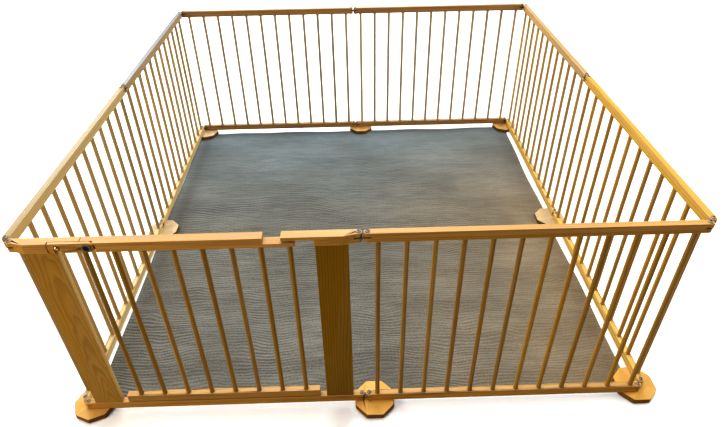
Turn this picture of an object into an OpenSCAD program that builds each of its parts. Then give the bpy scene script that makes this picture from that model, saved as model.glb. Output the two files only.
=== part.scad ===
// Folding square playpen: eight barred wooden panels, two to a side, linked by steel
// plates and bolts at eight joints. Each joint stands on an octagonal wooden foot.
// The front left panel holds a swinging gate with a lever latch. A woven mat lies inside.
// Millimetres. The origin is the centre of the square on the floor, +Z up, front at -Y.

/* [Panels] */
// Distance between the two end bolts of one panel
panel_pitch = 880; // [870:1:900]
// Height of the top rails' upper face above the floor
pen_height = 730; // [640:5:800]
// Width of a rail, across the panel
rail_width = 20; // [19:0.5:22]
// Height of a rail
rail_height = 30; // [28:1:34]
// Diameter of the round bars
bar_diameter = 14; // [12:1:15]
// Distance from one bar to the next
bar_pitch = 75; // [72:0.5:76]
// Number of bars in a plain panel
bar_count = 12; // [12:1:12]
// Depth of the blind holes that hold the bars' ends
tenon_depth = 10; // [6:1:10]

/* [Joints] */
// Distance between the two bolts of a joint
link_pitch = 23; // [22:0.5:26]
// Thickness of the steel link plates
plate_thickness = 3; // [2:0.5:4]
// Diameter of the joint bolts
bolt_diameter = 6; // [5:0.5:6]
// Diameter of the bolts' domed heads
head_diameter = 14; // [12:0.5:14]

/* [Feet] */
// Distance across the flats of a foot board
foot_flats = 125; // [120:1:130]
// Thickness of a foot board
foot_thickness = 18; // [15:1:20]

/* [Gate] */
// Width of the gate panel's thicker top rail
gate_rail_width = 28; // [28:1:32]
// Height of the gate's bottom rail
gate_bottom_height = 28; // [24:1:30]
// Gap between the gate's bottom rail and the fixed rail under it
gate_floor_gap = 4; // [3:0.5:6]
// Width of the flat boards beside the gate
board_width = 86; // [80:1:88]
// Thickness of the flat boards
board_thickness = 16; // [12:1:18]
// Number of bars left out of the gate panel at each side
bars_left_out = 2; // [2:1:2]
// Diameter of the gate's steel hinge pins
hinge_pin_diameter = 8; // [6:1:8]

/* [Mat] */
// Side of the square floor mat
mat_size = 1770; // [1740:5:1780]
// Thickness of the floor mat
mat_thickness = 2; // [2:0.5:4]

/* [Hidden] */
$fn = 48;
// radial clearance of a part that turns on a bolt, and of a bar glued in its hole
running_fit = 0.05;
// gap between flat faces that slide over each other
slide_gap = 0.5;
// gap between a steel plate or bolt head and the wood beside it
steel_gap = 0.3;
// how far a cutting shape runs past the face it opens
past = 1;

// heights, from the floor up
foot_top = mat_thickness + foot_thickness;
low_rail_z = foot_top + slide_gap;
low_rail_top = low_rail_z + rail_height;
high_rail_z = pen_height - rail_height;
gate_low_z = low_rail_top + gate_floor_gap;
gate_low_top = gate_low_z + gate_bottom_height;

// plan of the square: a corner link lies at 45 degrees
corner_step = link_pitch / sqrt(2);
half_side = panel_pitch + link_pitch / 2 + corner_step;
end_radius = rail_width / 2;

// bars, measured along a panel from its left bolt
first_bar = (panel_pitch - (bar_count - 1) * bar_pitch) / 2;
plain_bars = [for (i = [0 : bar_count - 1]) first_bar + i * bar_pitch];
gate_bar_places = [for (i = [bars_left_out : bar_count - bars_left_out - 1]) plain_bars[i]];
first_gate_bar = gate_bar_places[0];
hinge_x = gate_bar_places[len(gate_bar_places) - 1];

// slots for the link plates
slot_height = plate_thickness + 2 * steel_gap;
slot_reach = 11.5;
plate_radius = end_radius - 1;

// how deep the lower bolts go into a foot, and the gate's pins into the wood
foot_grip = 12;
pin_depth = 12;

// the gate panel's top rail grows towards the front from the plain width
front_growth = gate_rail_width - rail_width;
gate_front_y = -end_radius - front_growth;
taper_start = 8;
taper_end = 38;

// boards beside the gate
left_board_x = 26;
right_board_x = panel_pitch - left_board_x - board_width;

// top rail of the gate panel: by the latch the fixed end laps over the gate's end,
// and over the hinge a high arm of the other fixed end lies over a low tongue
seam_gap = 1.4;
seam_x = first_gate_bar + seam_gap / 2;
lap_reach = 14;
lap_z = rail_height / 2;
shoulder_x = hinge_x - 66;
tongue_end_x = hinge_x + 15.5;
tongue_height = 11.5;
arm_start_x = hinge_x - 19.5;
arm_height = 10;
arm_hole_depth = arm_height - 2;
right_stub_x = right_board_x - 1;
gate_low_left_x = left_board_x + board_width + 21.5;
gate_low_right_x = right_board_x - 21;

// latch lever, set flush in the front of the top rail
lever_thickness = 9;
lever_pivot_x = first_gate_bar + 18.5;
lever_radius = rail_height / 2;
lever_z = high_rail_z + rail_height / 2;
// the lever's nose, on the pivot's right
nose_x = 3;
// the hook at the lever's left end hangs a little below the rail
hook_x = -80;
hook_drop = 2;
hook_radius = lever_radius + hook_drop;
rebate_depth = lever_thickness + slide_gap;
rebate_back_y = gate_front_y + rebate_depth;
rebate_left_x = lever_pivot_x + hook_x - hook_radius - 1.3;
rebate_radius = 22.5;
latch_stud_radius = 5;
latch_stud_x = lever_pivot_x - 75;
// the slot round the stud is wider than the stud, mostly on the pivot's side
latch_slot_radius = 7.5;
latch_slot_x = latch_stud_x + 1.5;
pivot_radius = 4;
pivot_head_radius = 8;
washer_radius = 12;
// thickness of the washer under the pivot bolt's head
washer_floor = 0.8;
// how deep the stud and the pivot bolt go into the rail behind the rebate
stud_grip = 10;
pivot_grip = 12;

// panels: name, side number (0 front, 1 right, 2 back, 3 left), first or second of the side
PANELS = [
    ["panel_front_right", 0, 1], ["panel_right_front", 1, 0], ["panel_right_back", 1, 1],
    ["panel_back_right", 2, 0], ["panel_back_left", 2, 1], ["panel_left_back", 3, 0],
    ["panel_left_front", 3, 1]
];
// joints: name, side number, corner (0) or middle (1), foot's shift in x and y, foot's turn
JOINTS = [
    ["corner_front_left", 0, 0, 15, 10, 22.5], ["joint_front_middle", 0, 1, 30, 0, 0],
    ["corner_front_right", 1, 0, -2, 15, 0], ["joint_right_middle", 1, 1, -20, 5, 0],
    ["corner_back_right", 2, 0, -15, -15, 22.5], ["joint_back_middle", 2, 1, 30, 0, 0],
    ["corner_back_left", 3, 0, 15, -15, 22.5], ["joint_left_middle", 3, 1, 10, -10, 0]
];
PANEL_PIECES = ["_top_rail", "_bottom_rail", "_bars"];
JOINT_PIECES = ["_foot", "_link_plates", "_bolts"];
GATE_PIECES = [
    "gate_panel_left_stub", "gate_panel_right_stub", "gate_panel_bottom_rail",
    "gate_panel_left_board", "gate_panel_right_board", "latch_stud",
    "gate_top_rail", "gate_bottom_rail", "gate_bars", "gate_hinge_pins",
    "latch_pivot_bolt", "latch_pivot_washer", "latch_lever"
];

// ---- placing ----

// a panel's own frame: x from its left bolt to its right bolt, -y outwards
module on_panel(side, second) {
    start = second == 1 ? link_pitch / 2 : corner_step - half_side;
    rotate([0, 0, 90 * side])
        translate([start, -half_side, 0]) children();
}

// a joint's own frame: origin midway between its two bolts, which lie on x
module on_joint(side, middle) {
    inset = half_side - corner_step / 2;
    rotate([0, 0, 90 * side])
        if (middle == 1) translate([0, -half_side, 0]) children();
        else translate([-inset, -inset, 0]) rotate([0, 0, 135]) children();
}

// where a joint's middle stands on the floor
function joint_place(side, middle) =
    let (inset = half_side - corner_step / 2,
         x = middle == 1 ? 0 : -inset,
         y = middle == 1 ? -half_side : -inset,
         c = cos(90 * side), s = sin(90 * side))
    [x * c - y * s, x * s + y * c];

// ---- shared shapes ----

// a bar of wood from one bolt to the other, with round ends, standing on z = 0
module stadium_bar(width, height) {
    translate([0, -width / 2, 0]) cube([panel_pitch, width, height]);
    for (x = [0, panel_pitch]) translate([x, 0, 0]) cylinder(d = width, h = height);
}

// the bolt hole and the plate's slot at one end of a rail; dir is 1 at the left end
module rail_end_cut(x, dir) {
    translate([x, 0, -past])
        cylinder(r = bolt_diameter / 2 + running_fit, h = rail_height + 2 * past);
    slot_left = dir == 1 ? x - end_radius - past : x - slot_reach;
    translate([slot_left, -gate_rail_width, (rail_height - slot_height) / 2])
        cube([slot_reach + end_radius + past, 2 * gate_rail_width, slot_height]);
}

// blind holes for bars, from height z up
module bar_holes(places, z) {
    for (x = places) translate([x, 0, z])
        cylinder(d = bar_diameter + 2 * running_fit, h = tenon_depth + past);
}

// a hole for one of the gate's hinge pins, from height z up
module hinge_pin_hole(z, depth) {
    translate([hinge_x, 0, z])
        cylinder(d = hinge_pin_diameter + 2 * running_fit, h = depth);
}

module plain_rail() {
    difference() {
        stadium_bar(rail_width, rail_height);
        rail_end_cut(0, 1);
        rail_end_cut(panel_pitch, -1);
        children();
    }
}

// a low dome on a flat base at z = 0
module dome(radius, height) {
    ball = (radius * radius + height * height) / (2 * height);
    intersection() {
        cylinder(r = radius, h = height);
        translate([0, 0, height - ball]) sphere(r = ball, $fn = 64);
    }
}

// a button head with a hexagonal socket, on z = 0
module button_head() {
    rim_height = 1.2;
    head_height = 3.6;
    socket_radius = 3.2;
    socket_depth = 2.2;
    difference() {
        union() {
            cylinder(d = head_diameter, h = rim_height);
            translate([0, 0, rim_height]) dome(head_diameter / 2, head_height - rim_height);
        }
        translate([0, 0, head_height - socket_depth])
            cylinder(r = socket_radius, h = socket_depth + past, $fn = 6);
    }
}

// ---- plain panels ----

module top_rail() {
    color("burlywood") translate([0, 0, high_rail_z])
        plain_rail() bar_holes(plain_bars, -past);
}

module bottom_rail(places) {
    color("burlywood") translate([0, 0, low_rail_z])
        plain_rail() bar_holes(places, rail_height - tenon_depth);
}

module bars(places, low, high) {
    color("peru") for (x = places) translate([x, 0, low])
        cylinder(d = bar_diameter, h = high - low);
}

// ---- gate panel: the parts that stay still ----

// the thicker top rail's full section between two places along the panel
module gate_rail_section(from_x, to_x) {
    intersection() {
        union() {
            stadium_bar(rail_width, rail_height);
            linear_extrude(rail_height) polygon([
                [taper_start, -end_radius], [taper_end, gate_front_y],
                [panel_pitch - taper_end, gate_front_y],
                [panel_pitch - taper_start, -end_radius],
                [panel_pitch - taper_start, end_radius], [taper_start, end_radius]
            ]);
        }
        translate([from_x, -gate_rail_width, 0])
            cube([to_x - from_x, 2 * gate_rail_width, rail_height]);
    }
}

// the rebate in the front face that the latch lever lies in, round at the pivot
module lever_rebate() {
    translate([rebate_left_x, gate_front_y - past, -past])
        cube([lever_pivot_x - rebate_left_x, rebate_depth + past, rail_height + 2 * past]);
    translate([lever_pivot_x, rebate_back_y, rail_height / 2])
        rotate([90, 0, 0]) cylinder(r = rebate_radius, h = rebate_depth + past);
}

// a blind hole into the rail from the back of the rebate
module rebate_hole(x, radius, depth) {
    translate([x, rebate_back_y - past, rail_height / 2])
        rotate([-90, 0, 0]) cylinder(r = radius + running_fit, h = depth + past);
}

module left_stub() {
    color("burlywood") translate([0, 0, high_rail_z]) difference() {
        gate_rail_section(-end_radius, seam_x - seam_gap);
        translate([seam_x - seam_gap - lap_reach, -gate_rail_width, -past])
            cube([2 * lap_reach, 2 * gate_rail_width, lap_z + slide_gap + past]);
        rail_end_cut(0, 1);
        lever_rebate();
        rebate_hole(latch_stud_x, latch_stud_radius, stud_grip);
    }
}

module right_stub() {
    color("burlywood") translate([0, 0, high_rail_z]) difference() {
        union() {
            gate_rail_section(right_stub_x, panel_pitch + end_radius);
            intersection() {
                gate_rail_section(arm_start_x, right_stub_x + past);
                translate([arm_start_x, -gate_rail_width, rail_height - arm_height])
                    cube([panel_pitch, 2 * gate_rail_width, arm_height]);
            }
        }
        rail_end_cut(panel_pitch, -1);
        hinge_pin_hole(rail_height - arm_height - past, arm_hole_depth + past);
    }
}

module gate_panel_bottom_rail() {
    color("burlywood") translate([0, 0, low_rail_z]) plain_rail()
        hinge_pin_hole(rail_height - pin_depth, pin_depth + past);
}

module board(left_x) {
    color("peru") translate([left_x, -board_thickness / 2, low_rail_top])
        cube([board_width, board_thickness, high_rail_z - low_rail_top]);
}

module latch_stud() {
    tip_height = 2;
    shank_length = stud_grip + rebate_depth;
    color("silver") translate([latch_stud_x, rebate_back_y + stud_grip, lever_z])
        rotate([90, 0, 0]) {
            cylinder(r = latch_stud_radius, h = shank_length);
            translate([0, 0, shank_length]) dome(latch_stud_radius, tip_height);
        }
}

// ---- gate: the parts that swing ----

// the lower part of the rail, up to a height, between two places
module low_rail_part(from_x, to_x, height) {
    intersection() {
        gate_rail_section(from_x, to_x);
        translate([0, -gate_rail_width, 0]) cube([panel_pitch, 2 * gate_rail_width, height]);
    }
}

module gate_top_rail() {
    color("burlywood") translate([0, 0, high_rail_z]) difference() {
        union() {
            gate_rail_section(seam_x, shoulder_x);
            low_rail_part(seam_x - lap_reach, seam_x + past, lap_z);
            low_rail_part(shoulder_x - past, tongue_end_x, tongue_height);
        }
        lever_rebate();
        bar_holes(gate_bar_places, -past);
        hinge_pin_hole(0, tongue_height + past);
        rebate_hole(lever_pivot_x, pivot_radius, pivot_grip);
    }
}

module gate_bottom_rail() {
    color("burlywood") difference() {
        translate([gate_low_left_x, -rail_width / 2, gate_low_z])
            cube([gate_low_right_x - gate_low_left_x, rail_width, gate_bottom_height]);
        bar_holes(gate_bar_places, gate_low_top - tenon_depth);
        hinge_pin_hole(gate_low_z - past, pin_depth + past);
    }
}

// the lower pin joins the two bottom rails; the upper one stands in the tongue
// above the last bar's tenon and reaches up into the arm
module gate_hinge_pins() {
    end_play = 1;
    lower_z = low_rail_top - pin_depth + end_play;
    upper_z = high_rail_z + tenon_depth;
    upper_top = pen_height - arm_height + arm_hole_depth - end_play;
    color("silver") {
        translate([hinge_x, 0, lower_z])
            cylinder(d = hinge_pin_diameter, h = gate_low_z + pin_depth - lower_z);
        translate([hinge_x, 0, upper_z])
            cylinder(d = hinge_pin_diameter, h = upper_top - upper_z);
    }
}

// a shank and a flat head that lies in the washer's cup
module latch_pivot_bolt() {
    head_height = 1.8;
    socket_depth = 1.4;
    hex_radius = 3.6;
    shank_length = pivot_grip + rebate_depth + steel_gap + washer_floor;
    color("dimgray") translate([lever_pivot_x, gate_front_y - steel_gap - washer_floor, lever_z])
        rotate([90, 0, 0]) difference() {
            union() {
                translate([0, 0, -shank_length])
                    cylinder(r = pivot_radius, h = shank_length + head_height / 2);
                cylinder(r = pivot_head_radius, h = head_height);
            }
            translate([0, 0, head_height - socket_depth])
                cylinder(r = hex_radius, h = socket_depth + past, $fn = 6);
        }
}

// a bright cup washer between the lever and the pivot bolt's head
module latch_pivot_washer() {
    rim_height = 2.4;
    color("silver") translate([lever_pivot_x, gate_front_y - steel_gap, lever_z])
        rotate([90, 0, 0]) difference() {
            cylinder(r = washer_radius, h = rim_height);
            translate([0, 0, washer_floor])
                cylinder(r = pivot_head_radius + steel_gap, h = rim_height);
            translate([0, 0, -past])
                cylinder(r = pivot_radius + running_fit, h = rim_height + past);
        }
}

// the lever turns on the pivot bolt, and a slot open downwards drops over the stud;
// the hook round the slot has a tight upper corner and a full round below
module latch_lever() {
    corner = 4;
    slot_x = latch_slot_x - lever_pivot_x;
    hook_left = hook_x - hook_radius;
    through = lever_thickness + 2 * past;
    color("burlywood") translate([lever_pivot_x, gate_front_y + lever_thickness, lever_z])
        rotate([90, 0, 0]) difference() {
            union() {
                translate([nose_x, 0, 0]) cylinder(r = lever_radius, h = lever_thickness);
                translate([hook_x, -lever_radius, 0])
                    cube([nose_x - hook_x, 2 * lever_radius, lever_thickness]);
                translate([hook_x, -hook_drop, 0]) cylinder(r = hook_radius, h = lever_thickness);
                translate([hook_left + corner, lever_radius - corner, 0])
                    cylinder(r = corner, h = lever_thickness);
                translate([hook_left + corner, -hook_drop, 0])
                    cube([hook_radius, lever_radius + hook_drop, lever_thickness]);
                translate([hook_left, -hook_drop, 0])
                    cube([corner, lever_radius + hook_drop - corner, lever_thickness]);
            }
            translate([0, 0, -past]) cylinder(r = pivot_radius + running_fit, h = through);
            translate([slot_x, 0, -past]) cylinder(r = latch_slot_radius, h = through);
            translate([slot_x - latch_slot_radius, -2 * lever_radius, -past])
                cube([2 * latch_slot_radius, 2 * lever_radius, through]);
        }
}

// ---- joints ----

// an octagonal board under the joint, with blind holes for the two lower bolts
module foot(side, middle, shift_x, shift_y, turn) {
    place = joint_place(side, middle);
    color("burlywood") difference() {
        translate([place[0] + shift_x, place[1] + shift_y, mat_thickness])
            rotate([0, 0, turn + 22.5])
                cylinder(r = foot_flats / 2 / cos(22.5), h = foot_thickness, $fn = 8);
        on_joint(side, middle) for (x = [-link_pitch / 2, link_pitch / 2])
            translate([x, 0, foot_top - foot_grip])
                cylinder(r = bolt_diameter / 2 + running_fit, h = foot_grip + past);
    }
}

module link_plates() {
    color("silver") for (rail_z = [low_rail_z, high_rail_z])
        translate([0, 0, rail_z + (rail_height - plate_thickness) / 2]) difference() {
            union() {
                translate([-link_pitch / 2, -plate_radius, 0])
                    cube([link_pitch, 2 * plate_radius, plate_thickness]);
                for (x = [-link_pitch / 2, link_pitch / 2]) translate([x, 0, 0])
                    cylinder(r = plate_radius, h = plate_thickness);
            }
            for (x = [-link_pitch / 2, link_pitch / 2]) translate([x, 0, -past])
                cylinder(r = bolt_diameter / 2 + running_fit, h = plate_thickness + 2 * past);
        }
}

// four bolts: the upper two end in domed nuts, the lower two go down into the foot
module bolts() {
    head_gap = 0.2;
    nut_radius = 5;
    nut_height = 5;
    color("silver") for (x = [-link_pitch / 2, link_pitch / 2]) translate([x, 0, 0]) {
        translate([0, 0, foot_top - foot_grip])
            cylinder(d = bolt_diameter, h = foot_grip + slide_gap + rail_height + head_gap);
        translate([0, 0, low_rail_top + head_gap]) button_head();
        translate([0, 0, high_rail_z - head_gap])
            cylinder(d = bolt_diameter, h = rail_height + 2 * head_gap);
        translate([0, 0, pen_height + head_gap]) button_head();
        translate([0, 0, high_rail_z - head_gap]) mirror([0, 0, 1]) dome(nut_radius, nut_height);
    }
}

module floor_mat() {
    color("dimgray") translate([-mat_size / 2, -mat_size / 2, 0])
        cube([mat_size, mat_size, mat_thickness]);
}

// ---- the nodes ----

for (p = PANELS) {
    on_panel(p[1], p[2]) top_rail();
    on_panel(p[1], p[2]) bottom_rail(plain_bars);
    on_panel(p[1], p[2])
        bars(plain_bars, low_rail_top - tenon_depth, high_rail_z + tenon_depth);
}
on_panel(0, 0) left_stub();  // gate_panel_left_stub
on_panel(0, 0) right_stub();  // gate_panel_right_stub
on_panel(0, 0) gate_panel_bottom_rail();
on_panel(0, 0) board(left_board_x);  // gate_panel_left_board
on_panel(0, 0) board(right_board_x);  // gate_panel_right_board
on_panel(0, 0) latch_stud();
on_panel(0, 0) gate_top_rail();
on_panel(0, 0) gate_bottom_rail();
on_panel(0, 0)  // gate_bars
    bars(gate_bar_places, gate_low_top - tenon_depth, high_rail_z + tenon_depth);
on_panel(0, 0) gate_hinge_pins();
on_panel(0, 0) latch_pivot_bolt();
on_panel(0, 0) latch_pivot_washer();
on_panel(0, 0) latch_lever();
for (j = JOINTS) {
    foot(j[1], j[2], j[3], j[4], j[5]);
    on_joint(j[1], j[2]) link_plates();
    on_joint(j[1], j[2]) bolts();
}
floor_mat();
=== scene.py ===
import math

import bpy
import numpy as np
from mathutils import Matrix, Vector


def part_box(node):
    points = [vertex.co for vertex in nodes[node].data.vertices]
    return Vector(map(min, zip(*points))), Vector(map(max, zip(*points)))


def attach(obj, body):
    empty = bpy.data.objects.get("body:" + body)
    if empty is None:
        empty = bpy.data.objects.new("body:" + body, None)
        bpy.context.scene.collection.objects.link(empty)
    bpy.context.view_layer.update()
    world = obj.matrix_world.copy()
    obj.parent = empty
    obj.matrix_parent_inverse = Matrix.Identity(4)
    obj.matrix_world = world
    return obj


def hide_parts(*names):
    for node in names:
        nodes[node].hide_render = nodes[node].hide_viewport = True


# metres, +Z up; the side with the gate faces -Y, and +X points right along it
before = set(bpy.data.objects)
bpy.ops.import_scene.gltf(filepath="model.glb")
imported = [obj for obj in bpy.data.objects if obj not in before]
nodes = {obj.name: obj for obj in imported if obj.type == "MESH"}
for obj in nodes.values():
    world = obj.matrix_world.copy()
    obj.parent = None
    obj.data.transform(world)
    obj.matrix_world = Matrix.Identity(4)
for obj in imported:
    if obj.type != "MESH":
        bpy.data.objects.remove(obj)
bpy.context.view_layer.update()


# ---------------------------------------------------------------- camera
def make_camera():
    """A camera that stands in front of the pen and looks down into it."""
    place = Vector((-0.0195, -1.9775, 1.6333))
    yaw, pitch, roll = math.radians(0.942), math.radians(34.717), math.radians(-0.958)
    ahead = Vector((math.sin(yaw) * math.cos(pitch), math.cos(yaw) * math.cos(pitch),
                    -math.sin(pitch)))
    level_right = Vector((math.cos(yaw), -math.sin(yaw), 0))
    level_up = level_right.cross(ahead)
    right = math.cos(roll) * level_right + math.sin(roll) * level_up
    up = math.cos(roll) * level_up - math.sin(roll) * level_right
    data = bpy.data.cameras.new("camera")
    data.sensor_width = 36
    data.lens = 27.2281
    data.shift_x = 0.0025
    data.shift_y = -0.0477
    camera = bpy.data.objects.new("camera", data)
    turn = Matrix((right, up, -ahead)).transposed().to_4x4()
    camera.matrix_world = Matrix.Translation(place) @ turn
    bpy.context.scene.collection.objects.link(camera)
    bpy.context.scene.camera = camera


make_camera()


# ---------------------------------------------------------------- node helpers
class Graph:
    """A material's node tree, with short calls to add and join nodes."""

    def __init__(self, name):
        self.material = bpy.data.materials.new(name)
        self.material.use_nodes = True
        self.tree = self.material.node_tree
        self.shader = self.tree.nodes["Principled BSDF"]

    def add(self, kind, **settings):
        node = self.tree.nodes.new(kind)
        for key, value in settings.items():
            setattr(node, key, value)
        return node

    def join(self, source, target):
        self.tree.links.new(source, target)

    def feed(self, socket, value):
        """Links a socket to another one, or gives it a plain value."""
        if isinstance(value, bpy.types.NodeSocket):
            self.join(value, socket)
        else:
            socket.default_value = value

    def math(self, operation, a, b=0.0, c=0.0):
        node = self.add("ShaderNodeMath", operation=operation)
        for socket, value in zip(node.inputs, (a, b, c)):
            self.feed(socket, value)
        return node.outputs[0]

    def vector(self, x, y, z):
        node = self.add("ShaderNodeCombineXYZ")
        for socket, value in zip(node.inputs, (x, y, z)):
            self.feed(socket, value)
        return node.outputs[0]

    def parts(self, vector):
        """The X, Y and Z of a vector."""
        node = self.add("ShaderNodeSeparateXYZ")
        self.join(vector, node.inputs[0])
        return node.outputs

    def surface(self, output):
        """A coordinate of the surface in the piece's own frame."""
        return self.add("ShaderNodeTexCoord").outputs[output]

    def noise(self, vector, scale=1.0, detail=2.0, roughness=0.5):
        node = self.add("ShaderNodeTexNoise")
        self.feed(node.inputs["Vector"], vector)
        node.inputs["Scale"].default_value = scale
        node.inputs["Detail"].default_value = detail
        node.inputs["Roughness"].default_value = roughness
        return node.outputs["Fac"]

    def ramp(self, factor, stops):
        """A ramp of greys, from pairs of place and value."""
        node = self.add("ShaderNodeValToRGB")
        self.feed(node.inputs[0], factor)
        elements = node.color_ramp.elements
        while len(elements) < len(stops):
            elements.new(0.5)
        for element, (place, value) in zip(elements, stops):
            element.position = place
            element.color = (value, value, value, 1)
        return node.outputs["Color"]

    def mix(self, factor, a, b):
        """The colour a at a factor of 0, and b at 1."""
        node = self.add("ShaderNodeMix", data_type="RGBA")
        self.feed(node.inputs["Factor"], factor)
        for socket, value in ((node.inputs["A"], a), (node.inputs["B"], b)):
            if isinstance(value, tuple):
                value = (*value, 1)
            self.feed(socket, value)
        return node.outputs["Result"]

    def span(self, value, low, high):
        """Maps 0..1 to low..high, and holds the ends outside that."""
        node = self.add("ShaderNodeMapRange")
        self.feed(node.inputs["Value"], value)
        node.inputs["To Min"].default_value = low
        node.inputs["To Max"].default_value = high
        return node.outputs["Result"]

    def bump(self, height, strength, distance):
        node = self.add("ShaderNodeBump")
        self.feed(node.inputs["Height"], height)
        node.inputs["Strength"].default_value = strength
        node.inputs["Distance"].default_value = distance
        self.join(node.outputs["Normal"], self.shader.inputs["Normal"])

    def set(self, **values):
        """Sets the shader's sockets, with _ for the spaces in their names."""
        for key, value in values.items():
            self.feed(self.shader.inputs[key.replace("_", " ")], value)


def srgb(red, green, blue):
    """A colour given as 0..255 steps, as the shader's linear values."""
    def linear(step):
        part = step / 255
        return part / 12.92 if part <= 0.04045 else ((part + 0.055) / 1.055) ** 2.4
    return (linear(red), linear(green), linear(blue))


# ---------------------------------------------------------------- kinds of material
# for each direction of the grain, the two axes across it and the one along it
GRAIN_AXES = {"X": (1, 2, 0), "Y": (2, 0, 1), "Z": (0, 1, 2)}
# how dark a growth ring is from its early wood to its late wood
RING_SHADE = ((0.0, 0.05), (0.45, 0.25), (0.82, 1.0), (1.0, 0.05))


def wood(name, grain, light, dark, ring=0.0045, pith=(0.0, 0.0), tilt=(0.0, 0.0),
         waver=0.006, ring_share=0.5, roughness=(0.42, 0.58), shine=0.3, side_tone=None):
    """Lacquered softwood: growth rings round a pith line that runs along the grain,
    fine fibres, slow blotches, and a tone of its own for each piece and each bar.
    The faces towards one side can take a share of another tone, as painted light and sheen on
    those faces; the last argument gives the axis that they face, the share and the colour."""
    fibre_share, blotch_share, mean_shade = 0.45, 0.5, 0.3
    least_facing = 0.6
    g = Graph(name)
    axes = g.parts(g.surface("Object"))
    u, v, w = (axes[i] for i in GRAIN_AXES[grain])
    piece = g.add("ShaderNodeObjectInfo").outputs["Random"]
    island = g.add("ShaderNodeNewGeometry").outputs["Random Per Island"]
    # 0..1, another one for each solid, and how far off in the noise it is cut from
    chance = g.math("FRACT", g.math("MULTIPLY_ADD", piece, 7.31, island))
    far = g.math("MULTIPLY", chance, 13.0)

    def streaks(across, along, detail, roughness=0.5):
        """Noise with so many cells to the metre across the grain and along it."""
        return g.noise(g.vector(g.math("MULTIPLY_ADD", u, across, far),
                                g.math("MULTIPLY", v, across),
                                g.math("MULTIPLY", w, along)),
                       detail=detail, roughness=roughness)

    def from_pith(axis, start, lean):
        """The distance from the pith line along one axis across the grain."""
        return g.math("SUBTRACT", g.math("SUBTRACT", axis, start), g.math("MULTIPLY", w, lean))

    # rings that wander slowly along the piece, with another start in each solid
    drift = streaks(9.0, 2.2, detail=3.0)
    off_u = from_pith(u, pith[0], tilt[0])
    off_v = from_pith(v, pith[1], tilt[1])
    radius = g.math("SQRT", g.math("ADD", g.math("MULTIPLY", off_u, off_u),
                                   g.math("MULTIPLY", off_v, off_v)))
    radius = g.math("ADD", radius, g.math("MULTIPLY", drift, 2 * waver))
    radius = g.math("MULTIPLY_ADD", chance, 0.37, radius)
    rings = g.ramp(g.math("FRACT", g.math("DIVIDE", radius, ring)), RING_SHADE)

    fibre = streaks(700.0, 16.0, detail=3.0, roughness=0.65)
    blotch = streaks(14.0, 3.5, detail=2.0)
    shade = g.math("MULTIPLY", rings, ring_share)
    shade = g.math("MULTIPLY_ADD", fibre, fibre_share, shade)
    shade = g.math("MULTIPLY_ADD", blotch, blotch_share, g.math("SUBTRACT", shade, mean_shade))
    colour = g.mix(shade, light, dark)
    # painted light: faces that look towards one side are mixed towards another tone, a painted
    # highlight and sheen on them
    if side_tone:
        side, share, painted_light_tone = side_tone
        facing = g.parts(g.surface("Normal"))[side]
        painted_faces = g.math("GREATER_THAN", facing, least_facing)
        colour = g.mix(g.math("MULTIPLY", painted_faces, share), colour, painted_light_tone)
    tone = g.add("ShaderNodeHueSaturation")
    g.join(colour, tone.inputs["Color"])
    g.feed(tone.inputs["Value"], g.span(chance, 0.88, 1.1))
    g.feed(tone.inputs["Saturation"], g.span(g.math("FRACT", far), 0.94, 1.05))
    g.set(Base_Color=tone.outputs["Color"],
          Roughness=g.span(fibre, *roughness),
          Specular_IOR_Level=shine)
    g.bump(g.math("MULTIPLY_ADD", rings, 0.4, fibre), strength=0.25, distance=0.0003)
    return g.material


def foot_wood(name, light, dark, top):
    """A foot's timber, darker on its sides, with its top painted paler as painted light from
    above.
    """
    # the top's paler tone is painted light
    return wood(name, "Y", light, dark, ring=0.006, side_tone=("Z", 0.72, top))


def board_wood(name, node, light, dark, pith_side, **more):
    """Board timber with the pith just behind the face, so the rings make arches."""
    low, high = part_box(node)
    middle = (low + high) / 2
    pith = (middle.x + pith_side, high.y + 0.012)
    return wood(name, "Z", light, dark, pith=pith, shine=0.1, **more)


def plated_metal(name, colour, roughness=(0.22, 0.4)):
    """Plated metal, a little cloudy and scratched."""
    g = Graph(name)
    place = g.surface("Object")
    cloud = g.noise(place, scale=180.0, detail=3.0)
    scratch = g.noise(place, scale=2600.0, detail=1.0)
    g.set(Base_Color=g.mix(cloud, tuple(0.8 * c for c in colour), colour),
          Metallic=1.0, Roughness=g.span(cloud, *roughness))
    g.bump(scratch, strength=0.2, distance=0.00005)
    return g.material


# ---------------------------------------------------------------- the pen's materials
# rails: yellower in front, greyer on the left and at the back, paler low down at the sides;
# these tones of one timber are painted light and shade for each side of the pen
# painted sheen: the upper faces of these rails take a paler tone
rail_x = wood("rail_wood_x", "X", srgb(200, 156, 80), srgb(146, 100, 36),
              side_tone=("Z", 0.3, srgb(180, 156, 126)))
rail_y = wood("rail_wood_y", "Y", srgb(202, 162, 76), srgb(148, 106, 34))
back_rail = wood("back_rail_wood", "X", srgb(170, 136, 90), srgb(122, 92, 54))
# painted light: the inner faces of the near left rails take a paler tone
left_rail = wood("left_rail_wood", "Y", srgb(158, 134, 86), srgb(120, 96, 56),
                 side_tone=("X", 0.5, srgb(214, 190, 140)))
# painted reflection: the top of the far left rail takes a cool grey-blue tone, the sky seen in
# it
far_left_rail = wood("far_left_rail_wood", "Y", srgb(176, 154, 118), srgb(134, 112, 78),
                     side_tone=("Z", 0.7, srgb(118, 126, 138)))
far_right_rail = wood("far_right_rail_wood", "Y", srgb(184, 150, 98), srgb(134, 102, 58))
# painted light: the inner faces of the low left rails take a paler tone
low_left_rail = wood("low_left_rail_wood", "Y", srgb(206, 182, 132), srgb(162, 134, 88),
                     side_tone=("X", 0.5, srgb(220, 198, 152)))
low_right_rail = wood("low_right_rail_wood", "Y", srgb(214, 180, 104), srgb(168, 130, 66))

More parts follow.
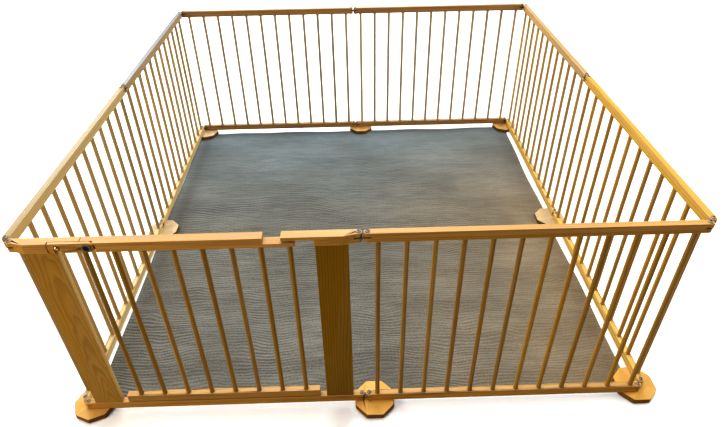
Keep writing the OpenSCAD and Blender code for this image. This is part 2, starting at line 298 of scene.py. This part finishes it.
# bars: one timber, in tones per side of the pen that are painted light and shade
front_bar = wood("bar_wood", "Z", srgb(172, 136, 62), srgb(118, 84, 32))
back_bar = wood("back_bar_wood", "Z", srgb(184, 166, 138), srgb(140, 122, 98))
left_bar = wood("left_bar_wood", "Z", srgb(190, 166, 122), srgb(142, 118, 80))
right_bar = wood("right_bar_wood", "Z", srgb(202, 166, 98), srgb(152, 116, 60))
far_right_bar = wood("far_right_bar_wood", "Z", srgb(200, 172, 124), srgb(154, 126, 84))

# feet: one timber, with tones per place that are painted light and shade
front_foot = foot_wood("foot_wood", srgb(146, 104, 50), srgb(104, 70, 28), srgb(222, 174, 90))
back_foot = foot_wood("back_foot_wood", srgb(126, 92, 46), srgb(92, 62, 26), srgb(190, 150, 88))
pale_foot = foot_wood("pale_foot_wood", srgb(126, 96, 60), srgb(92, 66, 38),
                      srgb(200, 178, 140))

# painted highlight: the left board's right-hand faces take a paler tone
left_board = board_wood(
    "left_board_wood", "gate_panel_left_board", srgb(190, 150, 72), srgb(135, 97, 37),
    pith_side=0.012, ring=0.0048, tilt=(0.004, 0.05), waver=0.026, ring_share=0.42,
    side_tone=("X", 0.6, srgb(220, 192, 140)))
right_board = board_wood(
    "right_board_wood", "gate_panel_right_board", srgb(156, 122, 30), srgb(106, 74, 12),
    pith_side=0.055, ring=0.0075, tilt=(0.012, 0.01), waver=0.011, ring_share=0.34)

bolt_steel = plated_metal("bolt_steel", (0.26, 0.235, 0.19), roughness=(0.55, 0.7))
# a darker copy of the bolts' steel: painted shade on the link plates
plate_steel = plated_metal("plate_steel", (0.1, 0.095, 0.085), roughness=(0.5, 0.65))
# nearly black: painted shade that stands in for the shadow in the pivot's recess
dark_steel = plated_metal("dark_steel", (0.045, 0.045, 0.05), roughness=(0.35, 0.5))
stud_metal = plated_metal("stud_metal", (0.83, 0.62, 0.30))

# panels whose timber is painted in other tones than the front's, as painted light and shade for
# their side of the pen
TOP_RAILS = {"panel_left_front": left_rail, "panel_left_back": far_left_rail,
             "panel_back_left": back_rail, "panel_back_right": back_rail,
             "panel_right_back": far_right_rail, "panel_right_front": rail_y}
BOTTOM_RAILS = {**TOP_RAILS,
                "panel_left_front": low_left_rail, "panel_left_back": low_left_rail,
                "panel_right_back": low_right_rail, "panel_right_front": low_right_rail}
BARS = {"panel_left_front": left_bar, "panel_left_back": left_bar,
        "panel_back_left": back_bar, "panel_back_right": back_bar,
        "panel_right_back": far_right_bar, "panel_right_front": right_bar}
FEET = {"corner_back_left": pale_foot, "joint_left_middle": pale_foot,
        "joint_right_middle": pale_foot,
        "joint_back_middle": back_foot, "corner_back_right": back_foot}


# ---------------------------------------------------------------- CAD pieces
def soften(obj, width, segments=2):
    """Rounds the hard edges of a CAD piece in the picture only."""
    weld = obj.modifiers.new("weld", "WELD")
    weld.merge_threshold = 2e-5
    bevel = obj.modifiers.new("bevel", "BEVEL")
    bevel.width = width
    bevel.segments = segments
    bevel.limit_method = "ANGLE"
    bevel.angle_limit = math.radians(40)
    bevel.use_clamp_overlap = False
    bevel.harden_normals = True


def paint(obj, material):
    obj.data.materials.clear()
    obj.data.materials.append(material)


def finish_piece(name, obj):
    """Gives a CAD piece its material, and rounds the edges of rails, boards, feet and lever."""
    if name == "latch_stud":
        paint(obj, stud_metal)
    elif name == "latch_pivot_bolt":
        paint(obj, dark_steel)
    elif name.endswith("_link_plates"):
        paint(obj, plate_steel)
    elif name.endswith(("_bolts", "_washer", "_pins")):
        paint(obj, bolt_steel)
    elif name.endswith("_bars"):
        paint(obj, BARS.get(name.removesuffix("_bars"), front_bar))
    elif name.endswith("_foot"):
        paint(obj, FEET.get(name.removesuffix("_foot"), front_foot))
        soften(obj, 0.0024, segments=1)
    elif name.endswith("_board"):
        paint(obj, left_board if "_left_" in name else right_board)
        soften(obj, 0.0015)
    elif name.endswith("_bottom_rail"):
        paint(obj, BOTTOM_RAILS.get(name.removesuffix("_bottom_rail"), rail_x))
        soften(obj, 0.0012)
    else:
        # top rails, the fixed ends of the gate panel's top rail, and the latch's lever
        paint(obj, TOP_RAILS.get(name.removesuffix("_top_rail"), rail_x))
        soften(obj, 0.0012)


for name, obj in nodes.items():
    if name != "floor_mat":
        finish_piece(name, obj)


# ---------------------------------------------------------------- mat
# from one rib to the next
RIB_PITCH = 0.0063


def mat_material():
    """Grey woven stuff with ribs, slubs and dull patches, with a painted bluish reflection of
    the sky towards the back and painted warm light towards the right."""
    g = Graph("mat_weave")
    x, y, _ = g.parts(g.surface("Object"))
    flat = g.vector(x, y, 0.0)

    def cells(along_x, along_y, detail):
        """Noise with so many cells to the metre along X and along Y."""
        return g.noise(g.vector(g.math("MULTIPLY", x, along_x),
                                g.math("MULTIPLY", y, along_y), 0.0), detail=detail)

    def rising(axis):
        """A sixth up to the middle, and from there on up to nearly 1 at the edge."""
        return g.ramp(g.span(axis, 0.5, 1.0), ((0.4, 0.0), (1.0, 1.0)))

    # threads from side to side, with knots
    knot = cells(330.0, 330.0, detail=2.0)
    pale = g.math("MULTIPLY_ADD", cells(3.0, 90.0, detail=3.0), 0.5,
                  g.math("MULTIPLY", knot, 0.5))
    # every second rib is darker, along lines that wander, come and go, and fade to the right
    wander_reach, line_share = 0.11, 0.48
    wander = g.noise(flat, scale=3.6, detail=2.5, roughness=0.45)
    line = g.math("SINE", g.math("MULTIPLY", g.math("MULTIPLY_ADD", wander, wander_reach, y),
                                 math.pi / RIB_PITCH))
    strength = g.ramp(g.noise(flat, scale=3.1, detail=2.0), ((0.35, 0.25), (0.65, 1.0)))
    line = g.math("MULTIPLY", line, g.math("MULTIPLY", strength, g.span(x, 1.0, 0.5)))
    pale = g.math("MULTIPLY_ADD", line, line_share, pale)
    # slubs and grit, and slow ripples painted as the shade of waves in the mat, each about its
    # own mean
    slub = cells(11.0, 62.0, detail=2.0)
    ripple = cells(1.7, 10.0, detail=2.5)
    grit = g.noise(flat, scale=150.0, detail=2.0, roughness=0.6)
    for pattern, amount in ((slub, 0.9), (ripple, 1.0), (grit, 1.4)):
        pale = g.math("MULTIPLY_ADD", g.math("SUBTRACT", pattern, 0.5), amount, pale)
    colour = g.mix(pale, srgb(50, 50, 46), srgb(114, 113, 106))

    # painted reflection: bluer towards the back, the sky seen in the mat; painted light: warmer
    # towards the right
    blue = rising(y)
    colour = g.mix(g.math("MULTIPLY", blue, 0.5), colour, srgb(106, 126, 136))
    painted_warm_light = g.math("MULTIPLY", rising(x), g.math("SUBTRACT", 1.0, blue))
    colour = g.mix(g.math("MULTIPLY", painted_warm_light, 0.5), colour, srgb(160, 130, 82))
    patch = g.ramp(g.noise(flat, scale=2.6, detail=4.0), ((0.38, 0.0), (0.62, 1.0)))
    colour = g.mix(g.math("MULTIPLY", patch, 0.34), colour, srgb(66, 64, 56))
    g.set(Base_Color=colour, Roughness=0.7, Specular_IOR_Level=0.25)
    g.bump(knot, strength=0.4, distance=0.0005)
    return g.material


def slow_wave(rng, count, pace):
    """A smooth random wave: a sum of sines that stays within -1..1."""
    phase = rng.uniform(0, 2 * math.pi, count)
    share = rng.uniform(0.4, 1.0, count)
    total = share.sum()
    return lambda t: sum(
        s * np.sin((k + 1) * math.pi * t * pace + p)
        for k, (s, p) in enumerate(zip(share, phase))) / total


def mat_surface(half, rows, columns):
    """The mat's upper face as three grids: x, y and height."""
    rng = np.random.default_rng(7)
    edge_back, edge_front = slow_wave(rng, 4, 1.3), slow_wave(rng, 4, 1.1)
    edge_left, edge_right = slow_wave(rng, 3, 0.9), slow_wave(rng, 3, 1.2)
    ripple, across = slow_wave(rng, 5, 2.3), slow_wave(rng, 5, 1.7)
    # -1..1 from left to right, and from front to back
    u, v = np.meshgrid(np.linspace(-1, 1, columns + 1), np.linspace(-1, 1, rows + 1))
    side_waver, end_waver = 0.006, 0.008
    x = u * half + side_waver * np.where(u < 0, edge_left(v), edge_right(v)) * np.abs(u) ** 3
    y = v * half + end_waver * np.where(v < 0, edge_front(u), edge_back(u)) * np.abs(v) ** 3
    # the left edge slants out under the rail towards the back
    slant_front, slant_more = 0.008, 0.02
    x = x - (slant_front + slant_more * np.clip(v + 0.6, 0, 1)) * np.clip(-u, 0, 1)
    # the top stays under 2 mm, where the undersides of the feet are
    thickness, rib_height, wave_height, flat_margin = 0.0008, 0.0005, 0.0006, 0.12
    rib = 0.5 + 0.5 * np.cos(2 * math.pi * y / RIB_PITCH)
    wave = 0.5 + 0.5 * ripple(v + 0.12 * across(u)) * across(u * 0.8 + 0.3 * v)
    inner = (np.clip((1 - np.abs(u)) / flat_margin, 0, 1)
             * np.clip((1 - np.abs(v)) / flat_margin, 0, 1))
    return x, y, thickness + rib_height * rib + wave_height * wave * inner


def closed_sheet(name, x, y, top):
    """A closed mesh between a grid of heights and the floor."""
    points = np.concatenate([np.stack([x, y, top], -1).reshape(-1, 3),
                             np.stack([x, y, np.zeros_like(top)], -1).reshape(-1, 3)])
    index = np.arange(top.size).reshape(top.shape)
    a, b = index[:-1, :-1].ravel(), index[:-1, 1:].ravel()
    c, d = index[1:, 1:].ravel(), index[1:, :-1].ravel()
    rim = np.concatenate([index[0, :-1], index[:-1, -1], index[-1, :0:-1], index[:0:-1, 0]])
    after = np.roll(rim, -1)
    faces = np.concatenate([np.stack([a, b, c, d], -1),
                            np.stack([d, c, b, a], -1) + top.size,
                            np.stack([after, rim, rim + top.size, after + top.size], -1)])
    mesh = bpy.data.meshes.new(name)
    mesh.from_pydata(points.tolist(), [], faces.tolist())
    mesh.update()
    mesh.shade_smooth()
    mesh.set_sharp_from_angle(angle=math.radians(60))
    return mesh


def woven_mat():
    """A thin woven mat with ribs from side to side, slight waves and wavering edges."""
    low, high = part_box("floor_mat")
    size = high.x - low.x
    rows_per_rib, columns = 4, 48
    rows = int(size / RIB_PITCH) * rows_per_rib
    mesh = closed_sheet("woven_mat", *mat_surface(size / 2, rows, columns))
    mat = bpy.data.objects.new("woven_mat", mesh)
    bpy.context.scene.collection.objects.link(mat)
    mat.data.materials.append(mat_material())
    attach(mat, "corner_front_left")
    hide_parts("floor_mat")


woven_mat()


# ---------------------------------------------------------------- studio
def make_floor():
    """A round floor that ends where it is still lit, so it runs into the pale air."""
    reach, drop, steps = 4.0, -0.0008, 96
    turns = [2 * math.pi * i / steps for i in range(steps)]
    mesh = bpy.data.meshes.new("studio_floor")
    mesh.from_pydata([(reach * math.cos(t), reach * math.sin(t), drop) for t in turns], [],
                     [tuple(range(steps))])
    floor = bpy.data.objects.new("studio_floor", mesh)
    bpy.context.scene.collection.objects.link(floor)
    g = Graph("studio_floor")
    # pale to the eye, while less of its light bounces up on to the fronts of the rails
    bounced, plain = (0.4, 0.36, 0.28), (0.92, 0.92, 0.92)
    seen = g.add("ShaderNodeLightPath").outputs["Is Camera Ray"]
    g.set(Base_Color=g.mix(seen, bounced, plain), Roughness=0.9)
    floor.data.materials.append(g.material)


def add_light(name, place, size, power, colour):
    """A round soft light, aimed at the lower middle of the pen."""
    data = bpy.data.lights.new(name, "AREA")
    data.shape = "DISK"
    data.size = size
    data.energy = power
    data.color = colour
    light = bpy.data.objects.new(name, data)
    light.visible_camera = False
    aim = Vector((0, 0, 0.2)) - Vector(place)
    light.matrix_world = (Matrix.Translation(place)
                          @ aim.to_track_quat("-Z", "Y").to_matrix().to_4x4())
    bpy.context.scene.collection.objects.link(light)


def make_air():
    """Dim fill light all round, and a pale backdrop that only the camera sees."""
    world = bpy.data.worlds.new("studio_air")
    world.use_nodes = True
    tree = world.node_tree
    fill = tree.nodes["Background"]
    fill.inputs["Color"].default_value = (1.0, 0.96, 0.9, 1)
    fill.inputs["Strength"].default_value = 0.07
    backdrop = tree.nodes.new("ShaderNodeBackground")
    backdrop.inputs["Color"].default_value = (1.0, 1.0, 0.99, 1)
    backdrop.inputs["Strength"].default_value = 1.3
    seen = tree.nodes.new("ShaderNodeLightPath")
    both = tree.nodes.new("ShaderNodeMixShader")
    tree.links.new(seen.outputs["Is Camera Ray"], both.inputs[0])
    tree.links.new(fill.outputs[0], both.inputs[1])
    tree.links.new(backdrop.outputs[0], both.inputs[2])
    tree.links.new(both.outputs[0], tree.nodes["World Output"].inputs["Surface"])
    bpy.context.scene.world = world


make_floor()
add_light("overhead_light", (-1.0, 0.5, 9.0), size=7.0, power=555, colour=(0.98, 0.98, 1.0))
add_light("inner_light", (0.0, -0.5, 3.4), size=1.6, power=12, colour=(1.0, 0.97, 0.9))
add_light("sky_light", (0.3, 4.6, 4.6), size=4.0, power=270, colour=(0.92, 0.96, 1.0))
add_light("side_light", (-3.2, -2.4, 1.5), size=2.0, power=56, colour=(1.0, 0.86, 0.66))
add_light("right_light", (3.4, -0.3, 1.5), size=2.0, power=78, colour=(1.0, 0.96, 0.88))
add_light("back_light", (-3.8, 3.6, 1.6), size=2.6, power=260, colour=(0.86, 0.93, 1.0))
make_air()
bpy.context.scene.view_settings.view_transform = "Standard"
bpy.context.scene.view_settings.look = "High Contrast"
